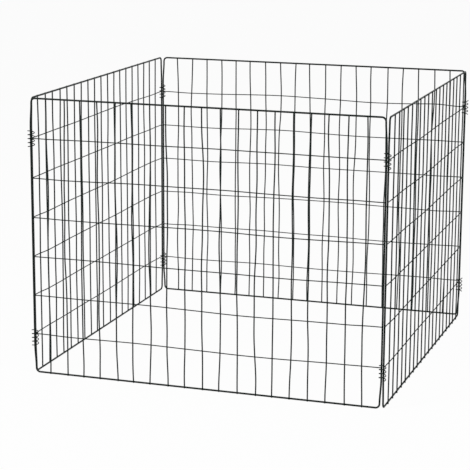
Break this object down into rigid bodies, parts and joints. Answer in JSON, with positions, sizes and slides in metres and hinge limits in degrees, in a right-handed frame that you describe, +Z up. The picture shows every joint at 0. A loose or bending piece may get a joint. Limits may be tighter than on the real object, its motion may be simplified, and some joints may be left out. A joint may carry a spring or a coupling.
{
  "type": "wire compost bin",
  "caption": "Square open compost bin of flat welded wire panels, hinged to each other at the corners by helical wire coils; folds flat.",
  "frame": {"origin": "centre of the bin's footprint, on the ground", "axes": "+Z up, -Y towards the front panel, +X towards the right panel"},
  "size_m": [0.9188, 0.9188, 0.7],
  "materials": {
    "frame_rod": "semi-gloss",
    "mesh_wire": "semi-gloss",
    "coil_wire": "semi-gloss"
  },
  "bodies": {
    "back_panel": {"back_frame": "frame_rod", "back_cross_wire_1": "mesh_wire", "back_cross_wire_2": "mesh_wire", "back_cross_wire_3": "mesh_wire", "back_cross_wire_4": "mesh_wire", "back_cross_wire_5": "mesh_wire", "back_cross_wire_6": "mesh_wire", "back_right_coil_lower": "coil_wire", "back_right_coil_upper": "coil_wire"},
    "left_panel": {"left_frame": "frame_rod", "left_cross_wire_1": "mesh_wire", "left_cross_wire_2": "mesh_wire", "left_cross_wire_3": "mesh_wire", "left_cross_wire_4": "mesh_wire", "left_cross_wire_5": "mesh_wire", "left_cross_wire_6": "mesh_wire", "back_left_coil_lower": "coil_wire", "back_left_coil_upper": "coil_wire"},
    "front_panel": {"front_frame": "frame_rod", "front_cross_wire_1": "mesh_wire", "front_cross_wire_2": "mesh_wire", "front_cross_wire_3": "mesh_wire", "front_cross_wire_4": "mesh_wire", "front_cross_wire_5": "mesh_wire", "front_cross_wire_6": "mesh_wire", "front_left_coil_lower": "coil_wire", "front_left_coil_upper": "coil_wire"},
    "right_panel": {"right_frame": "frame_rod", "right_cross_wire_1": "mesh_wire", "right_cross_wire_2": "mesh_wire", "right_cross_wire_3": "mesh_wire", "right_cross_wire_4": "mesh_wire", "right_cross_wire_5": "mesh_wire", "right_cross_wire_6": "mesh_wire", "front_right_coil_lower": "coil_wire", "front_right_coil_upper": "coil_wire"}
  },
  "joints": [
    {"name": "fold", "type": "hinge", "parent": "back_panel", "child": "left_panel", "pos_m": [-0.44522, 0.45028, 0], "axis": [0, 0, 1], "range_deg": [-85, 85]},
    {"name": "front_left_corner", "type": "hinge", "parent": "left_panel", "child": "front_panel", "pos_m": [-0.45028, -0.44522, 0], "axis": [0, 0, 1], "range_deg": [-85, 85]},
    {"name": "front_right_corner", "type": "hinge", "parent": "front_panel", "child": "right_panel", "pos_m": [0.44522, -0.45028, 0], "axis": [0, 0, 1], "range_deg": [-85, 85]}
  ],
  "couplings": [
    {"joint": "front_left_corner", "follows": "fold", "ratio": -1},
    {"joint": "front_right_corner", "follows": "fold", "ratio": 1}
  ]
}
